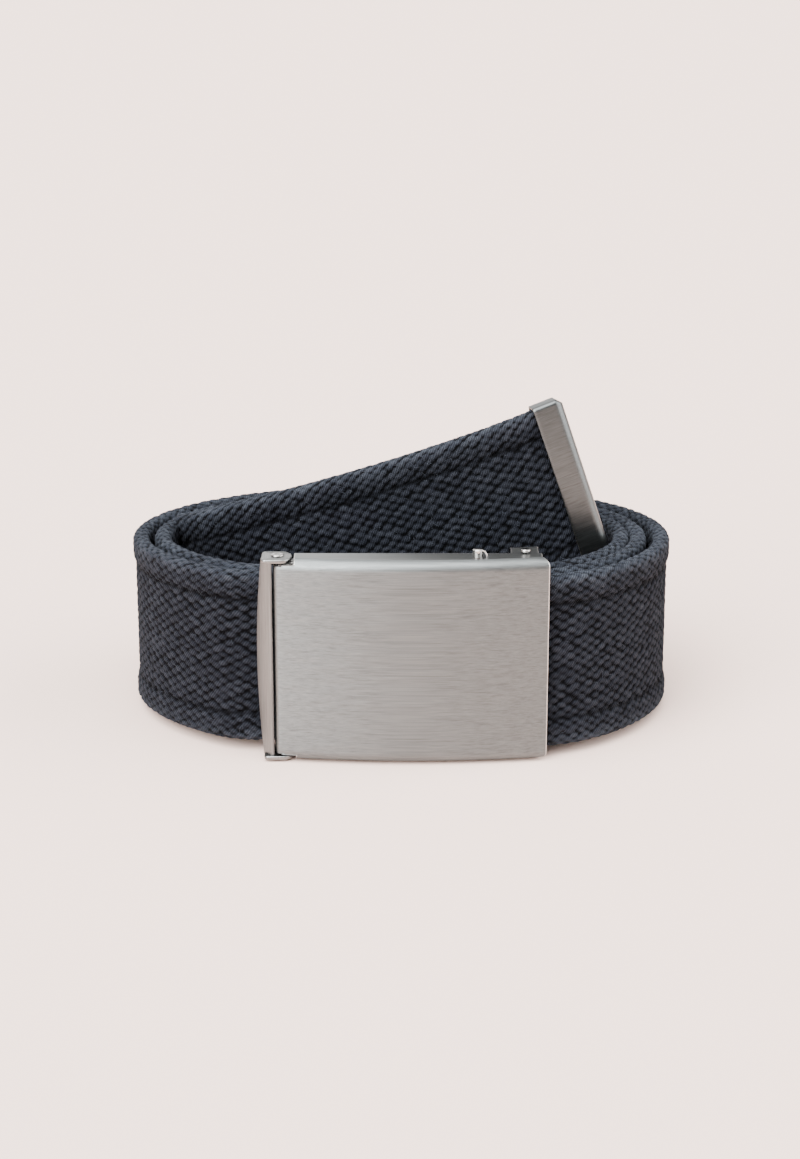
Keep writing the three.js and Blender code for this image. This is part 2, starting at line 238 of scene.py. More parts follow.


# Woven cotton. The relief attribute gives painted shade, dark in the pits, valleys and groove and lighter on
# the crowns; tone sets one yarn off from the next, and a painted highlight lightens the crowns along the
# edges, in patches. Twisted plies and a fine grain lie over them.
def webbingMaterial(w):
    material, add, link = startMaterial("navyWebbing")
    out = add("ShaderNodeOutputMaterial")
    shader = add("ShaderNodeBsdfPrincipled", Roughness=w["roughness"], Sheen_Weight=w["sheen"])
    shader.inputs["Sheen Roughness"].default_value = w["sheenRoughness"]
    shader.inputs["Sheen Tint"].default_value = w["sheenTint"]
    shader.inputs["Specular IOR Level"].default_value = w["specular"]
    link(shader, "BSDF", out, "Surface")

    relief = add("ShaderNodeAttribute", attribute_name="relief")
    tone = add("ShaderNodeAttribute", attribute_name="tone")
    edgeLight = add("ShaderNodeAttribute", attribute_name="edgeLight")
    uv = add("ShaderNodeUVMap", uv_map="web")
    place = add("ShaderNodeTexCoord")

    # painted shade: the colour follows the relief, dark down in the pits and light on the crowns
    colour = rampOf(add, [(0.0, w["pitShade"]), (0.28, w["valleyShade"]), (0.55, w["yarn"]), (1.0, w["crown"])])
    link(relief, "Fac", colour, "Fac")

    turn = add("ShaderNodeMapping")
    turn.inputs["Rotation"].default_value = (0, 0, np.radians(w["plyTurn"]))
    link(uv, "UV", turn, "Vector")
    ply = add("ShaderNodeTexWave", Scale=uvUnit / 10 * np.pi / w["plySize"], Distortion=1.6, Detail=2.0)
    ply.inputs["Detail Scale"].default_value = 1.4
    link(turn, "Vector", ply, "Vector")

    grain = add("ShaderNodeTexNoise", Scale=w["grain"], Detail=3.0, Roughness=0.65)
    link(place, "Object", grain, "Vector")
    patches = add("ShaderNodeTexNoise", Scale=w["edgeLightPatch"], Detail=3.0, Roughness=0.55)
    link(place, "Object", patches, "Vector")

    # share of the painted edge highlight = amount * edge mask * patch * relief
    patchRamp = rampOf(add, [(0.30, (0.25, 0.25, 0.25)), (0.70, (1, 1, 1))])
    link(patches, "Fac", patchRamp, "Fac")
    litPatch = add("ShaderNodeMath", operation="MULTIPLY")
    link(edgeLight, "Fac", litPatch, 0)
    link(patchRamp, "Color", litPatch, 1)
    litCrown = add("ShaderNodeMath", operation="MULTIPLY")
    link(litPatch, "Value", litCrown, 0)
    link(relief, "Fac", litCrown, 1)
    edgeLightShare = add("ShaderNodeMath", operation="MULTIPLY")
    link(litCrown, "Value", edgeLightShare, 0)
    edgeLightShare.inputs[1].default_value = w["edgeLightAmount"]
    edgeLit = add("ShaderNodeMixRGB", blend_type="MIX", Color2=(*w["edgeLit"], 1))
    link(edgeLightShare, "Value", edgeLit, "Fac")
    link(colour, "Color", edgeLit, "Color1")

    toned = multiplied(add, link, edgeLit, tone, w["toneStops"])
    twisted = multiplied(add, link, toned, ply, w["plyStops"], w["plyShare"])
    speckled = multiplied(add, link, twisted, grain, w["grainStops"], w["grainShare"])
    link(speckled, "Color", shader, "Base Color")

    height = add("ShaderNodeMath", operation="MULTIPLY_ADD")
    link(ply, "Fac", height, 0)
    height.inputs[1].default_value = w["plyHeight"]
    link(grain, "Fac", height, 2)
    bump = add("ShaderNodeBump", Strength=w["bumpStrength"], Distance=w["bumpDistance"])
    link(height, "Value", bump, "Height")
    link(bump, "Normal", shader, "Normal")
    return material


# One plain colour, for the stray fibres and the floor.
def plainMaterial(name, colour, roughness, specular):
    material, add, link = startMaterial(name)
    shader = add("ShaderNodeBsdfPrincipled", Roughness=roughness)
    shader.inputs["Base Color"].default_value = (*colour, 1)
    shader.inputs["Specular IOR Level"].default_value = specular
    link(shader, "BSDF", add("ShaderNodeOutputMaterial"), "Surface")
    return material


steelLook = dict(
    cover=(0.143, 0.155, 0.158),
    # flange: a lighter copy of the cover's colour for the flanges of the same sheet, as painted light
    flange=(0.215, 0.222, 0.222),
    # rim: a painted highlight on the sheet's cut edges
    rim=(0.50, 0.49, 0.48),
    polished=(0.42, 0.41, 0.40),
    jaw=(0.195, 0.200, 0.200),
    tip=(0.092, 0.099, 0.101),
    dark=(0.14, 0.139, 0.137),
    roughness=0.38,
    anisotropy=0.7,
    strokes=(13, 950, 950),  # brushing runs along the axis with the small number
    shade=(0.80, 1.16),
    streakStops=[(0.30, (0.80, 0.80, 0.80)), (0.46, (1, 1, 1)), (0.70, (1.11, 1.11, 1.11))],
    glossBelow=0.07,
    glossAbove=0.09,
    bumpStrength=0.5,
    bumpDistance=0.000010,
)


# Brushed steel: long thin noise along one direction, in colour, gloss and bump.
def steelMaterial(name, colour, strokes, roughness, attribute=None, anisotropy=0.0):
    look = steelLook
    material, add, link = startMaterial(name)
    out = add("ShaderNodeOutputMaterial")
    shader = add("ShaderNodeBsdfPrincipled", Metallic=1.0, Anisotropic=anisotropy)
    shader.inputs["Anisotropic Rotation"].default_value = 0.25  # light spreads across the strokes
    link(shader, "BSDF", out, "Surface")
    if anisotropy:
        tangent = add("ShaderNodeTangent", direction_type="UV_MAP", uv_map="web")
        link(tangent, "Tangent", shader, "Tangent")
    if attribute:
        place, socket = add("ShaderNodeAttribute", attribute_name=attribute), "Vector"
    else:
        place, socket = add("ShaderNodeTexCoord"), "Object"
    stretch = add("ShaderNodeMapping", Scale=strokes)
    link(place, socket, stretch, "Vector")
    fine = add("ShaderNodeTexNoise", Scale=5.0, Detail=5.0, Roughness=0.7)
    link(stretch, "Vector", fine, "Vector")
    streak = add("ShaderNodeTexNoise", Scale=2.6, Detail=3.0, Roughness=0.6)
    link(stretch, "Vector", streak, "Vector")
    broad = add("ShaderNodeTexNoise", Scale=1.1, Detail=2.0, Roughness=0.5)
    link(stretch, "Vector", broad, "Vector")

    darker, lighter = (tuple(c * share for c in colour) for share in look["shade"])
    tint = rampOf(add, [(0.30, darker), (0.70, lighter)])
    link(fine, "Fac", tint, "Fac")
    streaked = multiplied(add, link, tint, streak, look["streakStops"])
    link(streaked, "Color", shader, "Base Color")
    gloss = add("ShaderNodeMapRange")
    gloss.inputs["To Min"].default_value = roughness - look["glossBelow"]
    gloss.inputs["To Max"].default_value = roughness + look["glossAbove"]
    link(broad, "Fac", gloss, "Value")
    link(gloss, "Result", shader, "Roughness")
    bump = add("ShaderNodeBump", Strength=look["bumpStrength"], Distance=look["bumpDistance"])
    link(fine, "Fac", bump, "Height")
    link(bump, "Normal", shader, "Normal")
    return material


navyWebbing = webbingMaterial(webbingLook)
navyFibre = plainMaterial("navyFuzz", (0.030, 0.036, 0.048), roughness=0.8, specular=0.3)
coverSteel = steelMaterial(
    "brushedCover", steelLook["cover"], steelLook["strokes"], steelLook["roughness"],
    anisotropy=steelLook["anisotropy"],
)
# painted light: the flanges get a lighter copy of the cover's steel
flangeLitSteel = steelMaterial("flangeLitCopy", steelLook["flange"], steelLook["strokes"], 0.30)
# painted highlight: bright steel for the cut rims
rimHighlightSteel = steelMaterial("rimHighlight", steelLook["rim"], (250, 250, 250), 0.30)
earSteel = steelMaterial("brushedEar", steelLook["jaw"], (900, 60, 900), 0.28)
polished = steelMaterial("smoothSteel", steelLook["polished"], (250, 250, 250), 0.16)
jawSteel = steelMaterial("brushedJaw", steelLook["jaw"], (900, 900, 26), steelLook["roughness"])
tipSteel = steelMaterial("brushedTip", steelLook["tip"], (60, 1100, 1100), 0.33, attribute="local")
darkSteel = steelMaterial("plainSteel", steelLook["dark"], (300, 300, 300), 0.30)


print("webbing route")
webbing = dict(
    width=40.0, body=2.6, selvedge=3.6, selvedgeFrom=13.0, selvedgeTo=16.2, edgeFrom=18.4, edgePower=2.4,
    rollMiddleY=4.0, frontLift=2.6, frontSoftness=1.2, step=0.34, rounding=7,
)
buckle = dict(
    x=2.2, length=60.8, height=46.8, bottom=0.5, frontY=-43.0, bow=180.0, bend=2.4, flange=8.0, tabDepth=11.0,
    tabFrom=24.2, tabTo=30.4, sheet=0.9,
)
wraps = np.array([
    # turn, halfLength, halfDepth, front, 1 where it follows the buckle's bow
    (-82, 61.5, 50.0, -39.4, 1),
    (-30, 61.5, 50.0, -39.4, 1),
    (90, 61.5, 46.2, -36.0, 0),
    (180, 61.5, 46.5, -32.8, 0),
    (250, 59.8, 46.5, -32.8, 0),
    (360, 56.0, 43.0, -32.8, 0),
    (450, 56.0, 41.8, -30.0, 0),
    (540, 56.4, 41.5, -28.6, 0),
    (630, 53.6, 40.5, -28.6, 0),
    (720, 52.1, 38.8, -28.6, 0),
    (810, 51.0, 37.4, -28.6, 0),
    (834, 50.6, 37.2, -28.6, 0),
])
freeEnd = np.array([
    # x, y, z, lean of the upper edge to the front in degrees
    (-34.5, 32.8, 20.4, 0),
    (-44.2, 26.8, 20.8, 0),
    (-50.0, 19.6, 21.2, 1),
    (-50.2, 12.8, 22.4, 2),
    (-44.5, 8.4, 24.5, 2),
    (-36.0, 5.4, 27.5, 1),
    (-27.0, 2.8, 30.6, 0),
    (-18.0, 0.4, 33.6, -1),
    (-8.0, -1.8, 37.0, -2),
    (3.0, -3.3, 40.8, -3),
    (14.5, -3.5, 44.8, -3),
    (26.0, -2.2, 48.7, -3),
    (37.0, 0.2, 52.5, -3),
])
tipInsert = 5.2  # mm of webbing inside the tip


def bowAt(x):
    return (x - buckle["x"]) ** 2 / (2 * buckle["bow"])


# Points (x, y, z, lean) of the oval wraps at the given turns, kept behind the front by a soft larger-of:
# y = (oval + limit + hypot(oval - limit, 2 * frontSoftness)) / 2
def wrapPlaces(turns):
    turns = np.asarray(turns, float)
    n = np.clip(np.searchsorted(wraps[:, 0], turns, side="left"), 1, len(wraps) - 1)
    a, b = wraps[n - 1], wraps[n]
    t = np.clip((turns - a[:, 0]) / (b[:, 0] - a[:, 0]), 0, 1)[:, None]
    row = a + (b - a) * t * t * (3 - 2 * t)
    angle = np.radians(turns)
    x = row[:, 1] * np.cos(angle)
    limit = row[:, 3] + row[:, 4] * bowAt(x)
    oval = webbing["rollMiddleY"] + row[:, 2] * np.sin(angle)
    y = (oval + limit + np.hypot(oval - limit, 2 * webbing["frontSoftness"])) / 2
    backY = webbing["rollMiddleY"] + wraps[2, 2]
    z = webbing["width"] / 2 + webbing["frontLift"] * (backY - y) / (backY - wraps[0, 3])
    return np.stack([x, y, z, np.zeros_like(x)], -1)


# A curve through knots, at parameters from 0 to knots - 1, its pieces spaced by the root of their lengths.
def knotCurve(knots, at):
    def spacing(a, b):
        return np.sqrt(np.linalg.norm(b[:, :3] - a[:, :3], axis=1))[:, None]

    ends = np.vstack([2 * knots[0] - knots[1], knots, 2 * knots[-1] - knots[-2]])
    n = np.clip(np.floor(at).astype(int), 0, len(knots) - 2)
    w = (at - n)[:, None]
    p0, p1, p2, p3 = ends[n], ends[n + 1], ends[n + 2], ends[n + 3]
    d0, d1, d2 = spacing(p0, p1), spacing(p1, p2), spacing(p2, p3)
    t1 = ((p1 - p0) / d0 - (p2 - p0) / (d0 + d1) + (p2 - p1) / d1) * d1
    t2 = ((p2 - p1) / d1 - (p3 - p1) / (d1 + d2) + (p3 - p2) / d2) * d1
    c2 = -3 * p1 + 3 * p2 - 2 * t1 - t2
    c3 = 2 * p1 - 2 * p2 + t1 + t2
    return p1 + t1 * w + c2 * w ** 2 + c3 * w ** 3


# The middle line of the webbing at even steps: length so far, point, and directions along, across and out.
def webbingFrames():
    lastTurn = wraps[-1, 0]
    roll = wrapPlaces(np.arange(wraps[0, 0], lastTurn + 0.01, 0.5))
    knots = np.vstack([wrapPlaces([lastTurn - 6, lastTurn]), freeEnd])
    free = knotCurve(knots, np.linspace(1, len(knots) - 1, 900)[1:])
    straight = free[-1, :3] - free[-2, :3]
    straight /= np.linalg.norm(straight)
    inside = free[-1] + np.linspace(0, tipInsert, 12)[1:, None] * np.append(straight, 0)
    places = np.vstack([roll, free, inside])
    length = np.concatenate([[0], np.cumsum(np.linalg.norm(np.diff(places[:, :3], axis=0), axis=1))])
    count = int(length[-1] / webbing["step"])
    s = np.linspace(0, length[-1], count + 1)
    even = np.stack([np.interp(s, length, places[:, k]) for k in range(4)], -1)
    reach = webbing["rounding"]
    kernel = np.hanning(2 * reach + 1)
    kernel /= kernel.sum()  # rounds off the chords
    padded = np.pad(even, ((reach, reach), (0, 0)), mode="reflect", reflect_type="odd")
    soft = np.stack([np.convolve(padded[:, k], kernel, "valid") for k in range(4)], -1)
    point = soft[:, :3]
    along = np.gradient(point, axis=0)
    along /= np.linalg.norm(along, axis=1)[:, None]
    across = np.array([0, 0, 1.0]) - along * along[:, 2:3]
    across /= np.linalg.norm(across, axis=1)[:, None]
    lean = np.radians(soft[:, 3])[:, None]
    across = across * np.cos(lean) + np.cross(along, across) * np.sin(lean)
    return s, point, along, across, np.cross(along, across)


strapFrames = webbingFrames()


print("webbing")
weave = dict(
    body=dict(
        pitchAlong=3.42, pitchAcross=2.07, ovalAlong=1.36, ovalAcross=0.82,
        tilt=0.0, freeTilt=3.0, depth=0.48, seed=1,
    ),
    band=dict(
        pitchAlong=3.05, pitchAcross=1.86, ovalAlong=1.22, ovalAcross=0.74,
        tilt=-4.0, freeTilt=16.0, depth=0.38, seed=21,
    ),
    uneven=dict(along=0.17, across=0.20, turn=0.4, size=(0.90, 0.20), height=(0.86, 0.20)),
    freeFrom=150.0, freeTo=90.0,  # mm before the end, where the yarns turn
    groove=13.5, grooveWidth=0.55, grooveDepth=0.34, bandBlend=0.2, wanderRows=9,
    # the painted edge highlight grows from the first to the second distance off the middle
    edgeLightFrom=16.0, edgeLightTo=19.6,
    proud=0.16, columns=276, pieces=9,
)


# The closed outline of the section, at even steps: p runs round it from the middle of the outer face.
# The thickness swells from the body into the two rolled selvedges and ends in a rounded edge.
def webbingOutline(columns):
    half, edgeFrom = webbing["width"] / 2, webbing["edgeFrom"]
    turn = np.linspace(0, np.pi / 2, 160)
    fine = np.concatenate([np.linspace(0, edgeFrom, 400)[:-1], edgeFrom + (half - edgeFrom) * np.sin(turn)])
    swell = smoothStep(webbing["selvedgeFrom"], webbing["selvedgeTo"], fine)
    thick = webbing["body"] / 2 + (webbing["selvedge"] - webbing["body"]) / 2 * swell
    edge = np.clip((fine - edgeFrom) / (half - edgeFrom), 0, 1)
    thick = thick * np.sqrt(np.clip(1 - edge ** webbing["edgePower"], 0, 1))
    quarter = np.stack([fine, thick], -1)
    top = np.vstack([quarter, (quarter * [1, -1])[::-1][1:]])  # outer face, over the upper edge, inner face
    whole = np.vstack([top, (top[::-1] * [-1, 1])[1:-1]])
    whole = np.vstack([whole, whole[:1]])
    length = np.concatenate([[0], np.cumsum(np.linalg.norm(np.diff(whole, axis=0), axis=1))])
    p = np.linspace(0, length[-1], columns + 1)
    points = np.stack([np.interp(p, length, whole[:, k]) for k in range(2)], -1)[:-1]
    slope = np.roll(points, -1, 0) - np.roll(points, 1, 0)
    normal = np.stack([-slope[:, 1], slope[:, 0]], -1)
    normal /= np.linalg.norm(normal, axis=1)[:, None]
    return p, points, normal


# Ovals on a brick pattern: the higher of two staggered grids of tilted domes, unevenly placed and toned.
# dome = sqrt(1 - a^2 - b^2), with a and b along and across the oval
def ovals(u, v, c, free, uneven):
    seed = c["seed"]
    height = np.zeros(np.broadcast(u, v).shape)
    tone = np.full(height.shape, 0.5)
    lean = np.radians(c["tilt"] + (c["freeTilt"] - c["tilt"]) * free)
    sizeLow, sizeRange = uneven["size"]
    heightLow, heightRange = uneven["height"]
    for k in (0, 1):
        gu, gv = u / c["pitchAlong"] - 0.5 * k, v / c["pitchAcross"] - 0.5 * k
        iu, iv = np.round(gu), np.round(gv)
        du = (gu - iu - uneven["along"] * (scatter(iu, iv, seed + k) - 0.5)) * c["pitchAlong"]
        dv = (gv - iv - uneven["across"] * (scatter(iu, iv, seed + 3 + k) - 0.5)) * c["pitchAcross"]
        size = sizeLow + sizeRange * scatter(iu, iv, seed + 6 + k)
        turned = lean + uneven["turn"] * (scatter(iu, iv, seed + 15 + k) - 0.5)
        cos, sin = np.cos(turned), np.sin(turned)
        a = (du * cos + dv * sin) / (c["ovalAlong"] * size)
        b = (-du * sin + dv * cos) / (c["ovalAcross"] * size)
        dome = np.clip(1 - (a ** 2 + b ** 2), 0, 1) ** 0.5
        dome = dome * (heightLow + heightRange * scatter(iu, iv, seed + 9 + k))
        higher = dome > height
        height = np.where(higher, dome, height)
        tone = np.where(higher, scatter(iu, iv, seed + 12 + k), tone)
    return np.clip(height, 0, 1), tone


# The webbing's skin, rows along it and columns round its section:
# push = proud - depth * (1 - height) - grooveDepth * groove * (1 - height / 2)
def webbingSkin(w):
    s, point, along, across, out = strapFrames
    p, outline, normal = webbingOutline(w["columns"])
    u = s[:, None]
    v = outline[:, 0][None, :]
    q = p[:-1][None, :]
    free = smoothStep(s[-1] - w["freeFrom"], s[-1] - w["freeTo"], u)
    bodyHeight, bodyTone = ovals(u, q, w["body"], free, w["uneven"])
    bandHeight, bandTone = ovals(u, q, w["band"], free, w["uneven"])
    band = smoothStep(w["groove"] - w["bandBlend"], w["groove"] + w["bandBlend"], np.abs(v))
    height = bodyHeight * (1 - band) + bandHeight * band
    tone = bodyTone * (1 - band) + bandTone * band
    depth = w["body"]["depth"] * (1 - band) + w["band"]["depth"] * band
    wanderAt = s[::w["wanderRows"]]
    wander = np.interp(u, wanderAt, scatter(np.arange(len(wanderAt)), 3, 5)) - 0.5
    groove = np.exp(-((np.abs(v) - w["groove"] - 0.5 * wander) / w["grooveWidth"]) ** 2)
    groove = groove * (0.75 + 0.5 * wander)
    push = w["proud"] - depth * (1 - height) - w["grooveDepth"] * groove * (1 - 0.5 * height)
    acrossBy = outline[None, :, 0] + normal[None, :, 0] * push
    outBy = outline[None, :, 1] + normal[None, :, 1] * push
    points = point[:, None, :] + across[:, None, :] * acrossBy[..., None]
    points = points + out[:, None, :] * outBy[..., None]
    du = np.gradient(points, axis=0)
    dv = (np.roll(points, -1, 1) - np.roll(points, 1, 1)) / 2
    normals = np.cross(du, dv)
    normals /= np.linalg.norm(normals, axis=2)[..., None]
    flip = (normals * (points - point[:, None, :])).sum(-1).mean() < 0
    if flip:
        normals = -normals
    # painted shade: the relief that sets the colour is darker in the groove
    relief = height * (1 - 0.75 * groove)
    # where the painted highlight of the edges goes
    edgeLight = smoothStep(w["edgeLightFrom"], w["edgeLightTo"], np.abs(v)) + 0 * u
    return p, points, normals, flip, dict(relief=relief, tone=tone, edgeLight=edgeLight)


# The skin is cut into pieces along its length that share their end rows. A fan closes each end of the strap.
def makeWebbing(w):
    s, _, along, _, _ = strapFrames
    p, points, normals, flip, skinValues = webbingSkin(w)
    last = len(s) - 1
    columns = points.shape[1]
    cuts = np.round(np.linspace(0, last, w["pieces"] + 1)).astype(int)
    for number, (a, b) in enumerate(zip(cuts[:-1], cuts[1:])):
        rows = b - a + 1
        faces = gridFaces(rows, columns, closed=True, flip=flip)
        i = np.arange(rows - 1)[:, None]
        j = np.arange(columns)[None, :]
        corners = [
            np.stack(np.broadcast_arrays(s[a + i + di], p[j + dj]), -1)
            for di, dj in ((0, 0), (1, 0), (1, 1), (0, 1))
        ]
        uv = np.stack(corners, 2).reshape(-1, 4, 2) / uvUnit
        if flip:
            uv = uv[:, ::-1]
        block = points[a:b + 1].reshape(-1, 3)
        blockNormals = normals[a:b + 1].reshape(-1, 3)
        values = {key: value[a:b + 1].ravel() for key, value in skinValues.items()}
        groups, uvs = [faces], [uv.reshape(-1, 2)]
        for atEnd, isHere in ((False, a == 0), (True, b == last)):
            if not isHere:
                continue
            ring = np.arange(columns) + ((rows - 1) * columns if atEnd else 0)
            following = np.roll(ring, -1)
            first, second = (following, ring) if atEnd != flip else (ring, following)
            groups.append(np.stack([first, second, np.full(columns, len(block))], -1))
            uvs.append(np.tile([s[b if atEnd else a] / uvUnit, 0], (columns * 3, 1)))
            block = np.vstack([block, block[ring].mean(0)])
            blockNormals = np.vstack([blockNormals, along[-1] if atEnd else -along[0]])
            values = {key: np.append(value, 0.5) for key, value in values.items()}
        piece = addMesh(
            f"webbing_{number + 1}", block, groups, uv=np.vstack(uvs), attributes=values, normals=blockNormals
        )
        finishPiece(piece, navyWebbing, "webbing_strap")


makeWebbing(weave)


fibres = dict(
    count=11000, long=(0.7, 2.0), thick=0.045, root=0.04, lift=(0.05, 0.42), bend=2.6, steps=5,
    edgeShare=0.62, edgeFrom=15.5, firstRow=5, rowsLeft=30, floorGap=0.05,
)


# Short stray fibres that lie along the webbing's face or stand off its edges, each one a narrow bent ribbon.
# middle line = start + a tangent arc + lift * sin(pi * t), with t from 0 to 1 along the fibre
def makeFibres(c):
    s, point, along, across, out = strapFrames
    _, outline, normal = webbingOutline(weave["columns"])
    n = np.arange(c["count"])
    row = np.maximum((scatter(n, 1, 31) * (len(s) - c["rowsLeft"])).astype(int), c["firstRow"])
    onEdge = scatter(n, 2, 32) < c["edgeShare"]
    column = (scatter(n, 3, 33) * len(outline)).astype(int)
    edges = np.flatnonzero(np.abs(outline[:, 0]) > c["edgeFrom"])
    column = np.where(onEdge, edges[(scatter(n, 4, 34) * len(edges)).astype(int)], column)
    away = across[row] * normal[column, :1] + out[row] * normal[column, 1:]
    start = point[row] + across[row] * outline[column, :1] + out[row] * outline[column, 1:]
    over = np.cross(along[row], away)
    angle = 2 * np.pi * scatter(n, 5, 35)
    bend = c["bend"] * (scatter(n, 6, 36) - 0.5)
    length = c["long"][0] + (c["long"][1] - c["long"][0]) * scatter(n, 7, 37) ** 1.6
    lift = c["lift"][0] + (c["lift"][1] - c["lift"][0]) * scatter(n, 8, 38) ** 3
    t = np.linspace(0, 1, c["steps"])
    heading = angle[:, None] + bend[:, None] * t
    stepX = np.cos(heading) * length[:, None] / (c["steps"] - 1)
    stepY = np.sin(heading) * length[:, None] / (c["steps"] - 1)
    x = np.cumsum(stepX, 1) - stepX[:, :1]
    y = np.cumsum(stepY, 1) - stepY[:, :1]
    rise = c["root"] + lift[:, None] * np.sin(np.pi * t)[None, :]
    line = start[:, None] + along[row][:, None] * x[..., None] + over[:, None] * y[..., None]
    line = line + away[:, None] * rise[..., None]
    line[:, :, 2] = np.maximum(line[:, :, 2], c["floorGap"])
    side = np.stack([-np.sin(heading), np.cos(heading)], -1)
    width = c["thick"] / 2 * np.sin(np.pi * (0.12 + 0.76 * t))[None, :, None]  # thinner at both ends
    sideWay = (along[row][:, None] * side[..., :1] + over[:, None] * side[..., 1:]) * width
    points = np.stack([line - sideWay, line + sideWay], 2).reshape(-1, 3)
    k = np.arange(c["steps"] - 1) * 2
    base = (n * c["steps"] * 2)[:, None] + k[None, :]
    faces = np.stack([base, base + 2, base + 3, base + 1], -1).reshape(-1, 4)
    obj = addMesh("webbing_fuzz", points, faces)
    finishPiece(obj, navyFibre, "webbing_strap")


makeFibres(fibres)


print("cover")
cover = dict(
    lip=2.2, lipBend=1.3, lipInset=1.4, notch=4.6, notchHeight=1.0, corner=1.5, columns=64,
    rim=0.26, rimAngle=40, rimSlot=2,
)
middleZ = buckle["bottom"] + buckle["height"] / 2
topZ = buckle["bottom"] + buckle["height"]
leftX = buckle["x"] - buckle["length"] / 2
rightX = buckle["x"] + buckle["length"] / 2


# Gives the sheet its thickness, and its cut edges a narrow rounded rim in a material of their own, a lighter
# steel as a painted highlight.
def thicken(obj, c):
    sheet = obj.modifiers.new("sheet", "SOLIDIFY")
    sheet.thickness = buckle["sheet"] * mm
    sheet.offset = -1
    sheet.use_even_offset = True
    rim = obj.modifiers.new("edge", "BEVEL")
    rim.width = c["rim"] * mm
    rim.segments = 3
    rim.limit_method = "ANGLE"
    rim.angle_limit = np.radians(c["rimAngle"])
    rim.harden_normals = True
    rim.use_clamp_overlap = False
    rim.material = c["rimSlot"]


# The bent sheet: columns along x, rows round the channel from the lower flange's rear to the upper one's.
# Each column is moved back by bowAt(x). The left edge turns back as a lip, and the notches have no faces.
def makeCover(c):
    half, bend = buckle["height"] / 2, buckle["bend"]
    hair = 0.001
    notchX = leftX + c["notch"]
    xs = np.unique(np.round(np.concatenate([
        np.linspace(leftX + c["lipBend"], rightX, c["columns"]), [notchX, buckle["tabFrom"], buckle["tabTo"]],
    ]), 4))
    turn = np.linspace(0, np.pi / 2, 9)[:-1]
    lipX = leftX + np.append(0, c["lipBend"] * (1 - np.cos(turn)))
    lipBack = np.append(c["lip"], c["lipBend"] * (1 - np.sin(turn)))
    colX = np.concatenate([lipX, xs])
    colY = buckle["frontY"] + bowAt(colX) + np.concatenate([lipBack, np.zeros(len(xs))])
    lipAngle = np.arcsin((bend - c["lipInset"]) / bend)
    notchAngle = np.arcsin((bend - c["notchHeight"]) / bend)
    angles = np.unique(np.concatenate([np.linspace(0, np.pi / 2, 13), [lipAngle, notchAngle]]))
    flat = np.linspace(0, half - bend, 12)
    nFlat, nArc, nFlange, nTab = len(flat), len(angles) - 1, 9, 5
    up = np.concatenate([flat, half - bend + bend * np.sin(angles[1:]), np.full(nFlange + nTab, half)])
    arcBack = np.concatenate([np.zeros(nFlat), bend - bend * np.cos(angles[1:])])
    rear = buckle["flange"] - bowAt(colX)[:, None]
    flangeShare = np.linspace(0, 1, nFlange + 1)[None, 1:]
    tabShare = np.linspace(0, 1, nTab + 1)[None, 1:]
    flangeBack = bend + (rear - bend) * flangeShare
    tabBack = rear + (buckle["tabDepth"] - rear) * tabShare
    back = np.hstack([np.broadcast_to(arcBack, (len(colX), nFlat + nArc)), flangeBack, tabBack])
    y = colY[:, None] + back
    upper = np.stack(np.broadcast_arrays(colX[:, None], y, middleZ + up[None, :]), -1)
    lower = np.stack(np.broadcast_arrays(colX[:, None], y, middleZ - up[None, :]), -1)
    points = np.concatenate([lower[:, :0:-1], upper], 1)
    into = np.clip(np.abs(points[..., 2] - middleZ) - half + c["corner"], 0, c["corner"])
    shorter = c["corner"] - np.sqrt(c["corner"] ** 2 - into ** 2)  # rounds the corners at the right
    points[..., 0] -= shorter * np.clip((colX - buckle["tabTo"]) / (rightX - buckle["tabTo"]), 0, 1)[:, None]
    side = np.concatenate([up[:0:-1], up])
    rank = np.concatenate([np.arange(len(up))[:0:-1], np.arange(len(up))])
    columns, rows = points.shape[:2]
    faceUp = np.maximum(side[1:], side[:-1])[None, :]
    faceRank = np.maximum(rank[1:], rank[:-1])[None, :]
    faceX = ((colX[1:] + colX[:-1]) / 2)[:, None]
    inLip = (np.arange(columns - 1) < len(lipX))[:, None]
    inTab = (faceX > buckle["tabFrom"]) & (faceX < buckle["tabTo"])
    keep = ~(inLip & (faceUp > half - c["lipInset"] + hair))
    keep &= ~((faceX < notchX) & (faceUp > half - c["notchHeight"] + hair))
    keep &= (faceRank <= nFlat + nArc + nFlange - 1) | inTab
    faces = gridFaces(columns, rows)[keep.ravel()]
    used, faces = np.unique(faces, return_inverse=True)
    faces = faces.reshape(-1, 4)
    run = np.concatenate([[0], np.cumsum(np.linalg.norm(np.diff(points, axis=1), axis=2).mean(0))])
    uv = np.stack(np.broadcast_arrays(colX[:, None], run[None, :]), -1).reshape(-1, 2)[used] / uvUnit
    obj = addMesh("cover_sheet", points.reshape(-1, 3)[used], faces, uv=uv[faces.ravel()])
    thicken(obj, c)
    finishPiece(obj, coverSteel, "buckle_cover")
    # The flanges take a lighter copy of the cover's steel, as painted light.
    obj.data.materials.append(flangeLitSteel)
    # The cut rims take a painted highlight.
    obj.data.materials.append(rimHighlightSteel)
    flanges = np.broadcast_to(faceRank > nFlat + nArc - 1, keep.shape)[keep]
    obj.data.polygons.foreach_set("material_index", flanges.astype(int))


makeCover(cover)


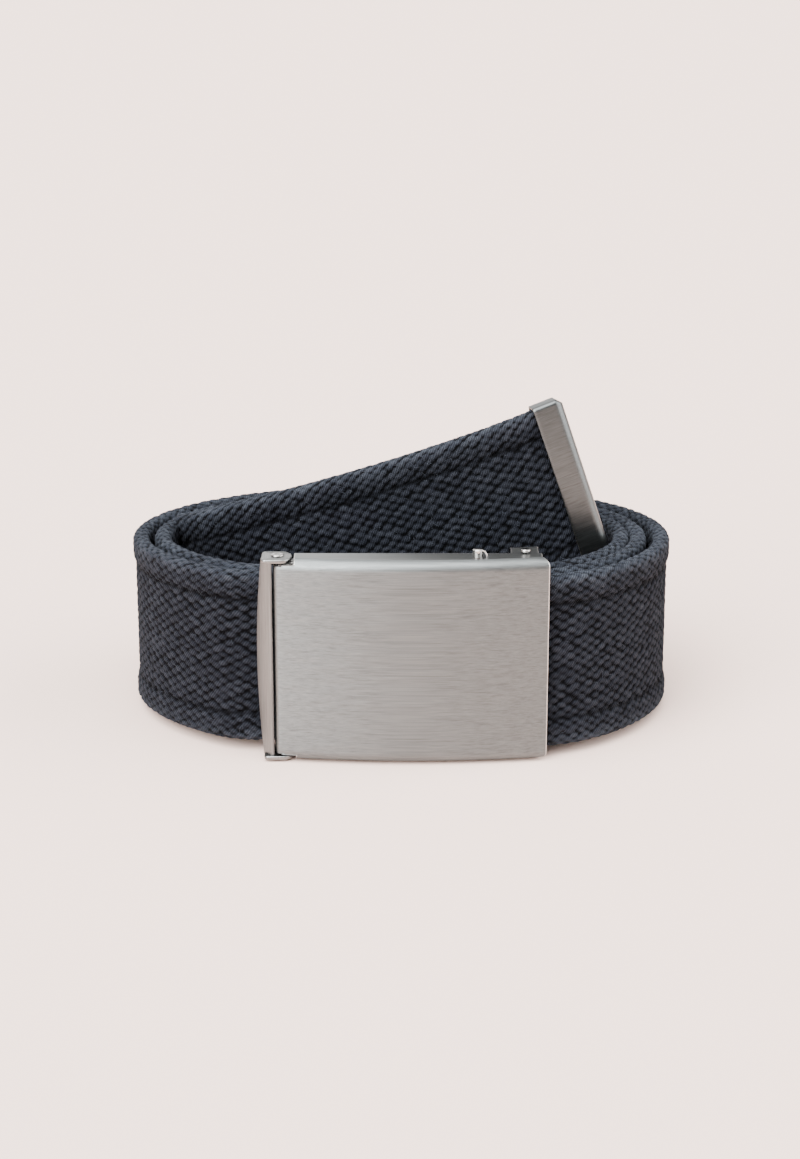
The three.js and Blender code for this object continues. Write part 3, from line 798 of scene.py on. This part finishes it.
print("jaw and fittings")
hinge = dict(
    x=-27.2, y=-37.2, fit=0.3, head=1.5, shank=0.8,
    earWidth=7.0, earDepth=7.0, earRound=2.4, earCorner=1.0, earEdge=0.22,
)
jaw = dict(endWidth=3.4, middleWidth=5.8, slant=34.0, sections=72, round=0.24, gap=0.08, behind=0.7)
leaf = dict(left=1.5, front=1.4, back=2.0, step=2.0, sheet=0.6, edge=0.1)
pivot = dict(x=16.8, y=-37.6, radius=1.15, proud=1.7, neck=0)
pivotTab = dict(
    thick=0.38, wide=1.24, corner=0.12, right=0.95, back=0.1, sink=0.3, reachRight=1.1, reachUp=1.65,
)
stop = dict(x=27.4, y=-35.0, radius=1.1, proud=0.9, neck=0.35)
pinShape = dict(root=2.2, edge=0.22, headHeight=0.55, headSlope=0.05)


# The slanted strip: a rounded bar whose width is greatest at mid-height.
# width = middleWidth - (middleWidth - endWidth) * (up / half)^2
def makeJawStrip(c):
    half = buckle["height"] / 2
    slant = np.radians(c["slant"])
    backwards = np.array([-np.sin(slant), np.cos(slant), 0])
    outwards = np.array([-np.cos(slant), -np.sin(slant), 0])
    up = np.linspace(-1, 1, c["sections"]) * (half - buckle["sheet"] / 2)
    width = c["middleWidth"] - (c["middleWidth"] - c["endWidth"]) * (up / half) ** 2
    front = np.array([leftX - c["gap"], buckle["frontY"] + bowAt(leftX) + c["behind"], middleZ])
    rings = []
    for u, w in zip(up, width):
        ring = roundedRectangle(w / 2, buckle["sheet"] / 2, c["round"]) + [w / 2, buckle["sheet"] / 2]
        rings.append(front + [0, 0, u] + ring[:, :1] * backwards + ring[:, 1:] * outwards)
    points, faces = tube(rings)
    strip = addMesh("jaw_strip", points, faces)
    finishPiece(strip, jawSteel, "hinge_jaw")


# The two ears: a round nose at the right, small corners at the left.
def makeEars(h):
    left, right = h["x"] - h["earWidth"] / 2, h["x"] + h["earWidth"] / 2 - h["fit"]
    near, far = h["y"] - h["earDepth"] / 2, h["y"] + h["earDepth"] / 2
    angle = np.linspace(-np.pi / 2, np.pi / 2, 25)
    noseX = right - h["earRound"] + h["earRound"] * np.cos(angle)
    nose = np.stack([noseX, h["y"] + (far - near) / 2 * np.sin(angle)], -1)
    r = h["earCorner"]
    turn = np.linspace(np.pi / 2, np.pi, 6)
    farCorner = np.stack([left + r + r * np.cos(turn), far - r + r * np.sin(turn)], -1)
    turn = turn + np.pi / 2
    nearCorner = np.stack([left + r + r * np.cos(turn), near + r + r * np.sin(turn)], -1)
    outline = np.vstack([nose, farCorner, nearCorner])
    e, s = h["earEdge"], buckle["sheet"]
    profile = [(e, 0), (e * 0.3, e * 0.3), (0, e), (0, s - e), (e * 0.3, s - e * 0.3), (e, s)]
    for name, z in (("upper", topZ - s), ("lower", buckle["bottom"])):
        points, faces = tube(plateRings(outline, [(inset, z + rise) for inset, rise in profile]))
        ear = addMesh(f"jaw_ear_{name}", points, faces)
        finishPiece(ear, earSteel, "hinge_jaw")


# At each hinge, a leaf under the ear and a rivet through both, whose head is dished.
def makeHinges(h, t):
    half = buckle["height"] / 2
    level = half - buckle["sheet"] - h["fit"]
    x0, x1 = h["x"] - t["left"], leftX + cover["notch"] + t["step"]
    y0, y1 = h["y"] - t["front"], h["y"] + t["back"]
    outline = roundedRectangle((x1 - x0) / 2, (y1 - y0) / 2, 0.5) + [(x0 + x1) / 2, (y0 + y1) / 2]
    for name, sign, node in (("upper", 1, "rivet_top"), ("lower", -1, "rivet_bottom")):
        z0, z1 = middleZ + sign * (level - t["sheet"]), middleZ + sign * level
        profile = [(0.05, z0), (0, z0 + sign * t["edge"]), (0, z1 - sign * t["edge"]), (0.05, z1)]
        points, faces = tube(plateRings(outline, profile))
        obj = addMesh(f"hinge_leaf_{name}", points, faces)
        finishPiece(obj, darkSteel, "buckle_cover")

        base, top = middleZ + sign * level, middleZ + sign * (half + 0.5)
        head = middleZ + sign * (half + 0.1)
        rise = top - head
        r = h["head"]
        profile = [
            (r - h["shank"], base), (r - h["shank"], head), (0.06, head), (0, head + rise * 0.3),
            (0.08, head + rise * 0.62), (0.3, head + rise * 0.86), (0.62, head + rise), (0.85, head + rise),
            (0.98, head + rise * 0.72), (1.3, head + rise * 0.6),
        ]
        points, faces = tube(plateRings(circle(h["x"], h["y"], r), profile))
        rivet = addMesh(f"rivet_{name}", points, faces)
        finishPiece(rivet, polished, node)


# The pivot's tab: a narrow strip beside it, bent down to the flange in a quarter of an oval.
def makePivotTab(p, c):
    ring = roundedRectangle(c["thick"] / 2, c["wide"] / 2, c["corner"], steps=4)
    middle = np.array([p["x"] + c["right"], p["y"] + c["back"], topZ - c["sink"]])
    rings = []
    for angle in np.linspace(0, np.pi / 2, 9):
        radial = np.array([np.sin(angle), 0, np.cos(angle)])
        arc = middle + radial * [c["reachRight"], 0, c["reachUp"]]
        rings.append(arc + ring[:, :1] * radial + ring[:, 1:] * np.array([0, 1, 0]))
    points, faces = tube(rings)
    tab = addMesh("pivot_tab", points, faces)
    finishPiece(tab, polished, "clamp_pivot_pin")


# A pin with a rounded top. One with a neck is thinner below its head.
def makePin(name, node, p, c):
    z0, z1 = topZ - c["root"], topZ + p["proud"]
    e, neck = c["edge"], p["neck"]
    rim = z1 - c["headHeight"] if neck else z1 - e
    profile = [
        (neck, z0), (neck, rim - c["headSlope"]), (0, rim), (0, z1 - e), (e * 0.3, z1 - e * 0.3), (e, z1),
    ]
    points, faces = tube(plateRings(circle(p["x"], p["y"], p["radius"]), profile))
    pin = addMesh(name, points, faces)
    finishPiece(pin, polished, node)


makeJawStrip(jaw)
makeEars(hinge)
makeHinges(hinge, leaf)
makePivotTab(pivot, pivotTab)
makePin("pivot_pin", "clamp_pivot_pin", pivot, pinShape)
makePin("stop_pin", "clamp_stop_pin", stop, pinShape)
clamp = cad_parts["end_clamp"]  # stays as the CAD has it
clamp.data.materials.clear()
clamp.data.materials.append(darkSteel)


print("tip")
tipCap = dict(
    along=7.5, beyondEnd=1.8, across=41.6, thick=5.0, wall=0.5, corner=1.0, endRound=2.4, chamfer=1.6,
)


# Rings of a rounded rectangle along the strap: the pocket's floor, its mouth, flat faces and rounded end.
# Each row is its place along, its growth and the cut of its two short sides.
def makeTip(c):
    _, point, alongs, acrosses, outs = strapFrames
    origin, along, across, out = point[-1], alongs[-3], acrosses[-3], outs[-3]
    w, h, end, wall = c["thick"] / 2, c["across"] / 2, c["beyondEnd"], c["wall"]
    mouth = end - c["along"]
    bendFrom = end - c["endRound"]
    rows = [
        (0.3, -wall, 0), (mouth + 0.16, -wall, 0), (mouth + 0.04, -wall + 0.08, 0), (mouth, -0.25, 0),
        (mouth + 0.05, -0.07, 0), (mouth + 0.2, 0, 0),
    ]
    rows += [(x, 0, 0) for x in np.linspace(mouth + 0.8, bendFrom, 8)]
    for angle in np.linspace(0, np.pi / 2, 13)[1:]:
        x = bendFrom + c["endRound"] * np.sin(angle)
        cut = c["chamfer"] * np.clip((x - end + c["chamfer"]) / c["chamfer"], 0, 1)
        rows.append((x, -c["endRound"] * (1 - np.cos(angle)), cut))
    rings, local = [], []
    for x, grow, cut in rows:
        inside = grow if x < bendFrom else 0
        corner = max(0.15, min(c["corner"] + grow, w + grow - 0.02))
        ring = roundedRectangle(w + grow, h + inside - cut, corner)
        rings.append(origin + x * along + ring[:, :1] * out + ring[:, 1:] * across)
        local.append(np.column_stack([np.full(len(ring), x), ring]))
    points, faces = tube(rings)
    local = np.vstack(local + [local[0].mean(0), local[-1].mean(0)]) * mm
    obj = addMesh("tip_shell", points, faces, attributes=dict(local=local))
    finishPiece(obj, tipSteel, "strap_tip")


makeTip(tipCap)


print("floor and light")
studio = dict(
    floor=(0.74, 0.572, 0.506), size=30.0,
    base=0.30, tint=(1.0, 0.985, 0.97),
    lobes=(
        # direction, share, cosine where it starts, cosine where it is full
        ((-0.56, -0.74, 0.46), 14.0, 0.82, 0.97),
        ((0.88, -0.10, 0.46), 7.5, 0.74, 0.97),
        ((-0.15, -0.25, 0.95), 10.0, 0.76, 0.97),
        ((-0.25, 0.80, 0.50), 1.8, 0.70, 0.96),
    ),
    sun=dict(direction=(0.55, 0.45, -0.95), strength=1.4, angle=50.0),
)


def addFloor(c):
    half = c["size"] / 2
    mesh = bpy.data.meshes.new("floor")
    corners = [(-half, -half, 0), (half, -half, 0), (half, half, 0), (-half, half, 0)]
    mesh.from_pydata(corners, [], [(0, 1, 2, 3)])
    floor = bpy.data.objects.new("floor", mesh)
    bpy.context.scene.collection.objects.link(floor)
    mesh.materials.append(plainMaterial("paleFloor", c["floor"], roughness=0.9, specular=0.1))


# Soft light from all around, brighter where a lobe's direction is near:
# strength = base + the sum of share * smoothstep(start, full, cosine) over the lobes
def addWorld(c):
    world = bpy.data.worlds.new("studio")
    world.use_nodes = True
    bpy.context.scene.world = world
    nodes, links = world.node_tree.nodes, world.node_tree.links
    background = nodes["Background"]
    background.inputs["Color"].default_value = (*c["tint"], 1)
    place = nodes.new("ShaderNodeTexCoord")
    total = None
    for direction, share, start, full in c["lobes"]:
        cosine = nodes.new("ShaderNodeVectorMath")
        cosine.operation = "DOT_PRODUCT"
        cosine.inputs[1].default_value = (np.array(direction) / np.linalg.norm(direction)).tolist()
        links.new(place.outputs["Generated"], cosine.inputs[0])
        lobe = nodes.new("ShaderNodeMapRange")
        lobe.interpolation_type = "SMOOTHSTEP"
        lobe.inputs["From Min"].default_value = start
        lobe.inputs["From Max"].default_value = full
        lobe.inputs["To Max"].default_value = share
        links.new(cosine.outputs["Value"], lobe.inputs["Value"])
        more = nodes.new("ShaderNodeMath")
        more.inputs[1].default_value = c["base"]
        links.new(lobe.outputs["Result"], more.inputs[0])
        if total:
            links.new(total.outputs["Value"], more.inputs[1])
        total = more
    links.new(total.outputs["Value"], background.inputs["Strength"])


# A wide weak sun from the left.
def addSun(c):
    data = bpy.data.lights.new("sun", "SUN")
    data.energy = c["strength"]
    data.angle = np.radians(c["angle"])
    lamp = bpy.data.objects.new("sun", data)
    x, y, z = c["direction"]
    lamp.rotation_euler = (np.arctan2(np.hypot(x, y), -z), 0, np.arctan2(x, -y) + np.pi)
    bpy.context.scene.collection.objects.link(lamp)


addFloor(studio)
addWorld(studio)
addSun(studio["sun"])
